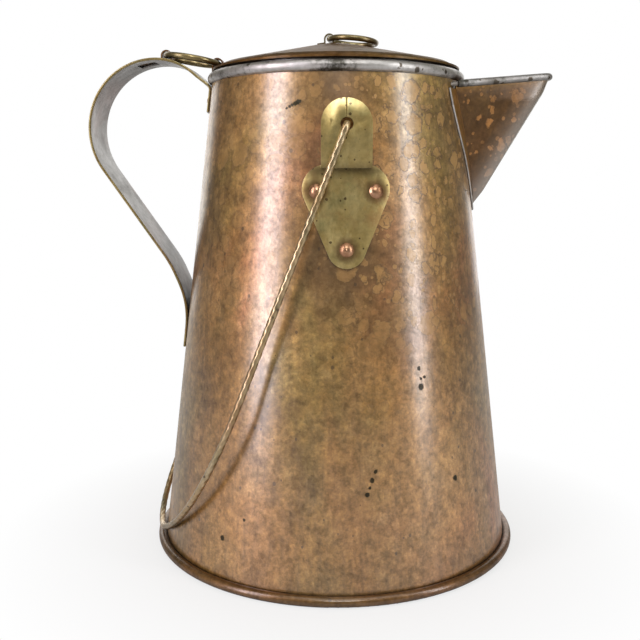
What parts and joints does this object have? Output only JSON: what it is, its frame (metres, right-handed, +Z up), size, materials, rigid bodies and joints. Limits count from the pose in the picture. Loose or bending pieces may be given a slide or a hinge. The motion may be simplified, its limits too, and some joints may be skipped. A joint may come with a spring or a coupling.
{
  "type": "coffee pot",
  "caption": "Tapered sheet-copper coffee pot with a strap handle, a ring-hinged lid, a V spout and a swinging wire bail on riveted ears.",
  "frame": {"origin": "on the pot's axis, in the plane of the base", "axes": "+Z up, +X towards the spout, -X towards the strap handle, -Y towards the near ear"},
  "size_m": [0.2178, 0.1778, 0.2435],
  "materials": {
    "copper_sheet": "satin",
    "dark_copper": "satin",
    "tinned_sheet": "satin",
    "brass_plate": "satin",
    "brass_wire": "satin",
    "copper_rivet": "satin",
    "iron_wire": "matte"
  },
  "bodies": {
    "pot": {"body_shell": "copper_sheet", "rim_wire": "iron_wire", "base_pan": "dark_copper", "spout": "copper_sheet", "spout_hem": "tinned_sheet", "spout_rim_wire": "iron_wire", "handle_strap": "tinned_sheet", "ring_loop": "dark_copper", "handle_rivets": "copper_rivet", "near_ear": "brass_plate", "far_ear": "brass_plate", "ear_rivets": "copper_rivet"},
    "bail": {"bail": "brass_wire"},
    "hinge_ring": {"hinge_ring": "brass_wire"},
    "lid": {"lid_cover": "dark_copper", "lid_collar": "tinned_sheet", "lid_hinge_tab": "dark_copper", "ring_staple": "brass_plate"},
    "lid_ring": {"lid_ring": "brass_wire"}
  },
  "joints": [
    {"name": "bail_swing", "type": "hinge", "parent": "pot", "child": "bail", "pos_m": [0, 0, 0.1982], "axis": [-0.1219, 0.9925, 0], "range_deg": [0, 300]},
    {"name": "hinge_ring_swing", "type": "hinge", "parent": "pot", "child": "hinge_ring", "pos_m": [-0.0806, 0, 0.2341], "axis": [0, -1, 0], "range_deg": [0, 60]},
    {"name": "lid_open", "type": "hinge", "parent": "hinge_ring", "child": "lid", "pos_m": [-0.0561, 0, 0.2302], "axis": [0, -1, 0], "range_deg": [0, 100]},
    {"name": "lid_ring_swing", "type": "hinge", "parent": "lid", "child": "lid_ring", "pos_m": [-0.0029, 0, 0.241], "axis": [0, -1, 0], "range_deg": [0, 175]}
  ]
}
